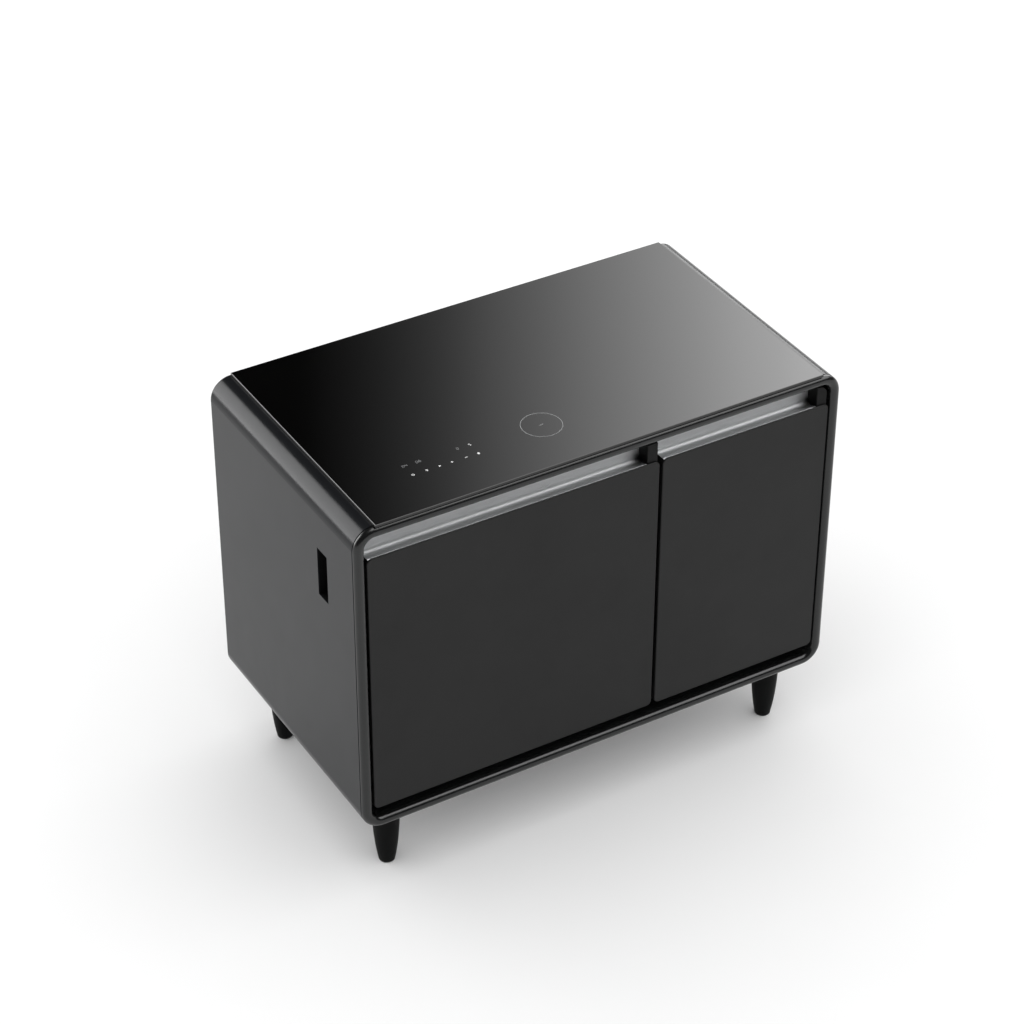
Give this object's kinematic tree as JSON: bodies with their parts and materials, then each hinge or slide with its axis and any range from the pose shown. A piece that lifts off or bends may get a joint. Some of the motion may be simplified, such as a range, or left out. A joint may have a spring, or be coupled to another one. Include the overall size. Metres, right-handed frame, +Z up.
{
  "type": "refrigerator coffee table",
  "caption": "Low table round a refrigerator: rounded dark grey cabinet on tapered legs, black glass top with touch marks and a charging ring, wide and narrow drawers with recessed pulls.",
  "frame": {"origin": "on the floor, under the middle of the table", "axes": "+X to the right along the width, +Y from the drawer fronts to the back, +Z up"},
  "size_m": [0.78, 0.43, 0.635],
  "materials": {
    "powder_coat_grey": "satin",
    "frame_grey": "satin",
    "dark_steel": "matte",
    "front_grey": "matte",
    "handle_aluminium": "brushed",
    "black_trim": "matte",
    "black_glass": "gloss",
    "tape_black": "matte",
    "leg_black": "satin",
    "pad_rubber": "matte",
    "gasket_rubber": "matte",
    "white_plastic": "gloss",
    "foam_cream": "matte",
    "zinc_steel": "brushed",
    "fin_aluminium": "satin",
    "copper": "satin",
    "compressor_black": "satin",
    "fan_plastic": "matte",
    "board_green": "satin",
    "ferrite_grey": "matte"
  },
  "bodies": {
    "cabinet": {"back_panel": "dark_steel", "back_panel_screws": "zinc_steel", "cabinet_shell": "powder_coat_grey", "charging_coil": "copper", "charging_ferrite": "ferrite_grey", "compressor": "compressor_black", "compressor_grommets": "pad_rubber", "compressor_studs": "zinc_steel", "condenser_fins": "fin_aluminium", "condenser_tube": "copper", "control_board": "board_green", "control_box": "black_trim", "discharge_pipe": "copper", "evaporator_plates": "fin_aluminium", "face_plate": "dark_steel", "fan_bracket": "zinc_steel", "fan_frame": "fan_plastic", "foam_body": "foam_cream", "front_frame": "frame_grey", "glass_tape": "tape_black", "glass_top": "black_glass", "left_liner": "white_plastic", "left_slide_rails": "zinc_steel", "leg_back_left": "leg_black", "leg_back_right": "leg_black", "leg_front_left": "leg_black", "leg_front_right": "leg_black", "leg_pads": "pad_rubber", "leg_plates": "zinc_steel", "leg_studs": "zinc_steel", "power_inlet": "black_trim", "right_liner": "white_plastic", "right_slide_rails": "zinc_steel", "side_port_bezel": "black_trim", "suction_pipe": "copper", "touch_board": "board_green", "usb_socket": "zinc_steel"},
    "left_drawer": {"left_drawer_panel": "front_grey", "left_drawer_handle": "handle_aluminium", "left_handle_end": "black_trim", "left_drawer_foam": "foam_cream", "left_drawer_inner_panel": "white_plastic", "left_drawer_gasket": "gasket_rubber", "left_drawer_bin": "white_plastic", "left_bin_screws": "zinc_steel", "left_slide_runners": "zinc_steel"},
    "right_drawer": {"right_drawer_panel": "front_grey", "right_drawer_handle": "handle_aluminium", "right_handle_end": "black_trim", "right_drawer_foam": "foam_cream", "right_drawer_inner_panel": "white_plastic", "right_drawer_gasket": "gasket_rubber", "right_drawer_bin": "white_plastic", "right_bin_screws": "zinc_steel", "right_slide_runners": "zinc_steel"},
    "left_slide_middle_members": {"left_slide_middles": "zinc_steel"},
    "right_slide_middle_members": {"right_slide_middles": "zinc_steel"},
    "fan": {"fan_rotor": "fan_plastic", "fan_shaft": "zinc_steel"}
  },
  "joints": [
    {"name": "left_drawer_slide", "type": "slide", "parent": "cabinet", "child": "left_drawer", "axis": [0, -1, 0], "range_m": [0, 0.3]},
    {"name": "left_middle_slide", "type": "slide", "parent": "cabinet", "child": "left_slide_middle_members", "axis": [0, -1, 0], "range_m": [0, 0.15]},
    {"name": "right_drawer_slide", "type": "slide", "parent": "cabinet", "child": "right_drawer", "axis": [0, -1, 0], "range_m": [0, 0.19]},
    {"name": "right_middle_slide", "type": "slide", "parent": "cabinet", "child": "right_slide_middle_members", "axis": [0, -1, 0], "range_m": [0, 0.095]},
    {"name": "fan_spin", "type": "hinge", "parent": "cabinet", "child": "fan", "pos_m": [0.15, 0.14, 0.209], "axis": [1, 0, 0], "continuous": true}
  ],
  "couplings": [
    {"joint": "left_middle_slide", "follows": "left_drawer_slide", "ratio": 0.5},
    {"joint": "right_middle_slide", "follows": "right_drawer_slide", "ratio": 0.5}
  ]
}
